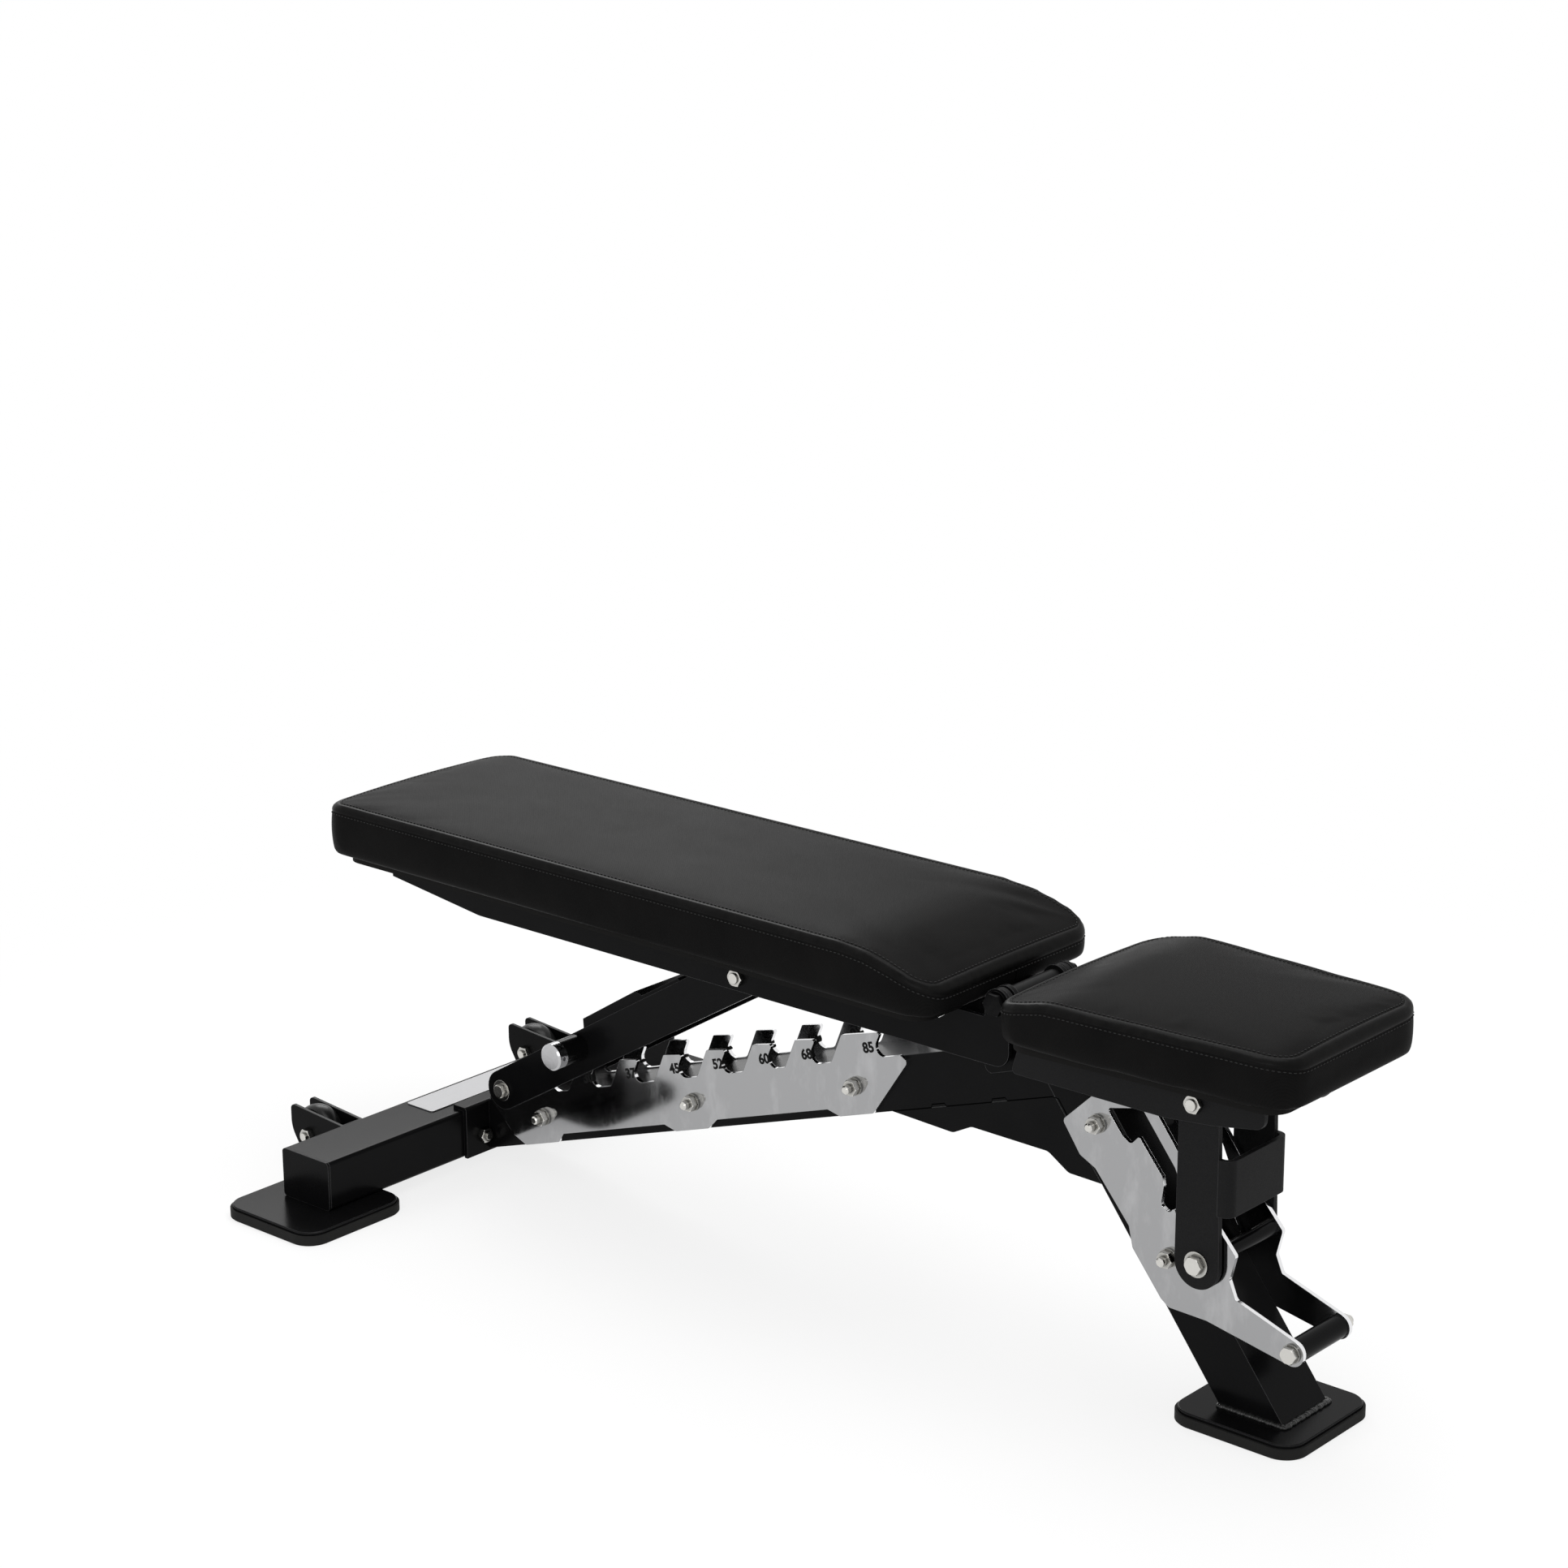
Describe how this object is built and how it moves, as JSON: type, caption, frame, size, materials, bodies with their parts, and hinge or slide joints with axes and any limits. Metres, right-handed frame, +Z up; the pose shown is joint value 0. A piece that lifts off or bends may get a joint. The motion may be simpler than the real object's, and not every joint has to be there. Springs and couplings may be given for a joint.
{
  "type": "adjustable weight bench",
  "caption": "Adjustable weight bench: padded backrest on a notched ladder, tilting seat, sloping spine on a rear crossbeam with wheels and a front leg",
  "frame": {"origin": "on the floor, below the middle of the bench's bounding box", "axes": "+X runs along the bench from the head end to the seat end, +Y to the left of someone sitting against the backrest and facing the seat end, +Z up"},
  "size_m": [1.37, 0.722, 0.454],
  "materials": {
    "frame_paint": "gloss black",
    "textured_paint": "fine-textured matte black",
    "name_plate": "brushed, bare",
    "chrome": "polished",
    "zinc": "bright zinc",
    "rubber": "matte",
    "wheel": "glossy black",
    "board": "black-stained plywood",
    "vinyl": "fine-woven black vinyl"
  },
  "bodies": {
    "base": {"rear_crossbeam": "frame_paint", "crossbeam_end_caps": "frame_paint", "name_plate": "name_plate", "rear_foot_plates": "frame_paint", "rear_foot_shoes": "rubber", "wheel_brackets": "frame_paint", "wheel_bolts": "zinc", "saddle_bracket": "frame_paint", "saddle_bolts": "zinc", "spine_tube": "frame_paint", "spine_gussets": "frame_paint", "front_leg": "frame_paint", "leg_weld": "frame_paint", "front_foot_plate": "frame_paint", "front_foot_shoe": "rubber", "ladder_plate_left": "chrome", "ladder_plate_right": "chrome", "ladder_bolts": "zinc", "front_plate_left": "chrome", "front_plate_right": "chrome", "front_plate_bolts": "zinc", "front_cross_tube": "frame_paint", "lift_handle": "frame_paint", "lift_handle_bolt": "zinc", "pivot_bracket": "frame_paint", "pivot_shaft": "zinc"},
    "wheel_left": {"transport_wheel_left": "wheel"},
    "wheel_right": {"transport_wheel_right": "wheel"},
    "backrest": {"backrest_frame": "frame_paint", "backrest_board": "board", "backrest_screws": "zinc", "back_pad": "vinyl", "strut_pivot_bolt": "zinc"},
    "strut": {"strut_cheek_left": "frame_paint", "strut_cheek_right": "frame_paint", "strut_web": "frame_paint", "strut_rod": "zinc", "hand_grips": "chrome"},
    "seat": {"seat_frame": "textured_paint", "seat_hinge_plates": "textured_paint", "seat_board": "board", "seat_screws": "zinc", "seat_pad": "vinyl", "yoke_pivot_bolt": "zinc"},
    "yoke": {"yoke_arms": "textured_paint", "yoke_band": "textured_paint", "yoke_pin": "zinc"}
  },
  "joints": [
    {"name": "backrest_tilt", "type": "hinge", "parent": "base", "child": "backrest", "pos_m": [0.284, 0, 0.394], "axis": [0, 1, 0], "range_deg": [0, 85]},
    {"name": "strut_swing", "type": "hinge", "parent": "backrest", "child": "strut", "pos_m": [-0.079, 0, 0.341], "axis": [0, 1, 0], "range_deg": [-125.8, 0]},
    {"name": "seat_tilt", "type": "hinge", "parent": "base", "child": "seat", "pos_m": [0.284, 0, 0.394], "axis": [0, -1, 0], "range_deg": [0, 20]},
    {"name": "yoke_swing", "type": "hinge", "parent": "seat", "child": "yoke", "pos_m": [0.535, 0, 0.347], "axis": [0, -1, 0], "range_deg": [-37.4, 0]},
    {"name": "wheel_left_spin", "type": "hinge", "parent": "base", "child": "wheel_left", "pos_m": [-0.651, 0.184, 0.047], "axis": [0, 1, 0], "continuous": true},
    {"name": "wheel_right_spin", "type": "hinge", "parent": "base", "child": "wheel_right", "pos_m": [-0.651, -0.184, 0.047], "axis": [0, 1, 0], "continuous": true}
  ],
  "couplings": [
    {"joint": "strut_swing", "follows": "backrest_tilt", "ratio": -1.48},
    {"joint": "yoke_swing", "follows": "seat_tilt", "ratio": -1.87}
  ]
}
